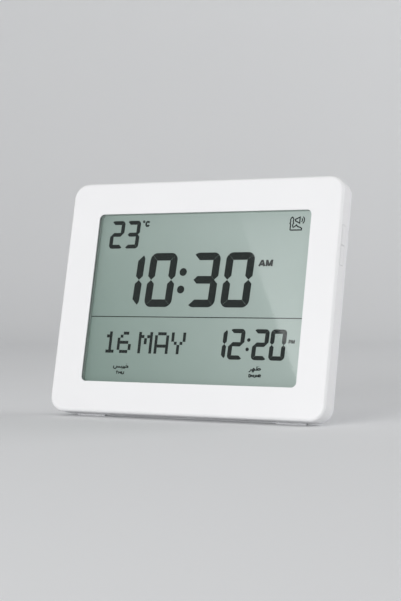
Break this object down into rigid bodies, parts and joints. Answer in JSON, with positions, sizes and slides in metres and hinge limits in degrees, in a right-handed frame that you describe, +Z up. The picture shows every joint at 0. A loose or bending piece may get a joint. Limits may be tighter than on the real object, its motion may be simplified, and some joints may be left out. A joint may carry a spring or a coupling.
{
  "type": "azan clock",
  "caption": "Prayer-time clock with a wide LCD in a flat rounded white case that leans back on a folding rear leg, with a battery bay, loudspeaker and push buttons.",
  "frame": {"origin": "centre of the bounding box at the level of the surface it stands on", "axes": "+X to the right along the width, +Y backwards, +Z up; the display faces -Y and leans back"},
  "size_m": [0.2302, 0.07, 0.181],
  "materials": {
    "white_shell": "white ABS, fine satin gloss",
    "grey_cover": "white ABS, fine matt grain",
    "clear_window": "clear acrylic sheet",
    "dark_frame": "matt black plastic",
    "lcd_film": "grey-green polariser film",
    "cell_glass": "clear LCD glass",
    "white_film": "white reflector film",
    "guide_acrylic": "clear moulded acrylic",
    "board_green": "green solder mask",
    "chip_black": "black epoxy",
    "white_holder": "white ABS",
    "black_rubber": "soft black rubber",
    "pale_rubber": "pale grey soft rubber",
    "grey_rubber": "grey soft rubber",
    "steel": "bright zinc plated steel",
    "switch_black": "black nylon",
    "key_plastic": "light grey ABS",
    "speaker_paper": "black paper cone",
    "magnet_ferrite": "dark grey ferrite",
    "cell_jacket": "plain coloured jacket"
  },
  "bodies": {
    "casing": {"backlight_strip": "board_green", "battery_cell_1": "cell_jacket", "battery_cell_2": "cell_jacket", "battery_cell_3": "cell_jacket", "battery_contacts": "steel", "case_screws": "steel", "clock_crystal": "steel", "controller_chip": "chip_black", "display_frame": "dark_frame", "display_holder": "white_holder", "front_bezel": "white_shell", "lcd_contact_strip": "grey_rubber", "lcd_front_glass": "cell_glass", "lcd_front_polariser": "lcd_film", "lcd_rear_glass": "cell_glass", "lcd_reflector": "white_film", "light_guide": "guide_acrylic", "main_board": "board_green", "rear_cover": "grey_cover", "rear_switch_1": "switch_black", "rear_switch_2": "switch_black", "rear_switch_3": "switch_black", "rear_switch_4": "switch_black", "rear_switch_5": "switch_black", "rear_switch_6": "switch_black", "rubber_pad_left": "pale_rubber", "rubber_pad_right": "pale_rubber", "side_switch_board": "board_green", "side_switch_lower": "switch_black", "side_switch_upper": "switch_black", "speaker_basket": "steel", "speaker_cone": "speaker_paper", "speaker_grille": "grey_cover", "speaker_magnet": "magnet_ferrite", "supply_capacitor": "chip_black", "window_lens": "clear_window"},
    "stand_leg": {"stand_leg": "grey_cover", "leg_bead": "black_rubber"},
    "battery_door": {"battery_door": "grey_cover"},
    "side_button_lower": {"side_button_lower": "white_shell"},
    "side_button_upper": {"side_button_upper": "white_shell"},
    "rear_button_1": {"rear_button_1": "key_plastic"},
    "rear_button_2": {"rear_button_2": "key_plastic"},
    "rear_button_3": {"rear_button_3": "key_plastic"},
    "rear_button_4": {"rear_button_4": "key_plastic"},
    "rear_button_5": {"rear_button_5": "key_plastic"},
    "rear_button_6": {"rear_button_6": "key_plastic"}
  },
  "joints": [
    {"name": "leg_hinge", "type": "hinge", "parent": "casing", "child": "stand_leg", "pos_m": [-0.00007, 0.01292, 0.08742], "axis": [1, 0, 0], "range_deg": [-26.1, 0]},
    {"name": "door_hinge", "type": "hinge", "parent": "casing", "child": "battery_door", "pos_m": [-0.00007, -0.00151, 0.02137], "axis": [-1, 0, 0], "range_deg": [0, 95]},
    {"name": "side_button_lower_press", "type": "slide", "parent": "casing", "child": "side_button_lower", "axis": [-1, 0, 0], "range_m": [0, 0.0006], "stiffness_N_per_m": 800},
    {"name": "side_button_upper_press", "type": "slide", "parent": "casing", "child": "side_button_upper", "axis": [-1, 0, 0], "range_m": [0, 0.0006], "stiffness_N_per_m": 800},
    {"name": "rear_button_1_press", "type": "slide", "parent": "casing", "child": "rear_button_1", "axis": [0, -0.9744, 0.225], "range_m": [0, 0.0006], "stiffness_N_per_m": 800},
    {"name": "rear_button_2_press", "type": "slide", "parent": "casing", "child": "rear_button_2", "axis": [0, -0.9744, 0.225], "range_m": [0, 0.0006], "stiffness_N_per_m": 800},
    {"name": "rear_button_3_press", "type": "slide", "parent": "casing", "child": "rear_button_3", "axis": [0, -0.9744, 0.225], "range_m": [0, 0.0006], "stiffness_N_per_m": 800},
    {"name": "rear_button_4_press", "type": "slide", "parent": "casing", "child": "rear_button_4", "axis": [0, -0.9744, 0.225], "range_m": [0, 0.0006], "stiffness_N_per_m": 800},
    {"name": "rear_button_5_press", "type": "slide", "parent": "casing", "child": "rear_button_5", "axis": [0, -0.9744, 0.225], "range_m": [0, 0.0006], "stiffness_N_per_m": 800},
    {"name": "rear_button_6_press", "type": "slide", "parent": "casing", "child": "rear_button_6", "axis": [0, -0.9744, 0.225], "range_m": [0, 0.0006], "stiffness_N_per_m": 800}
  ]
}
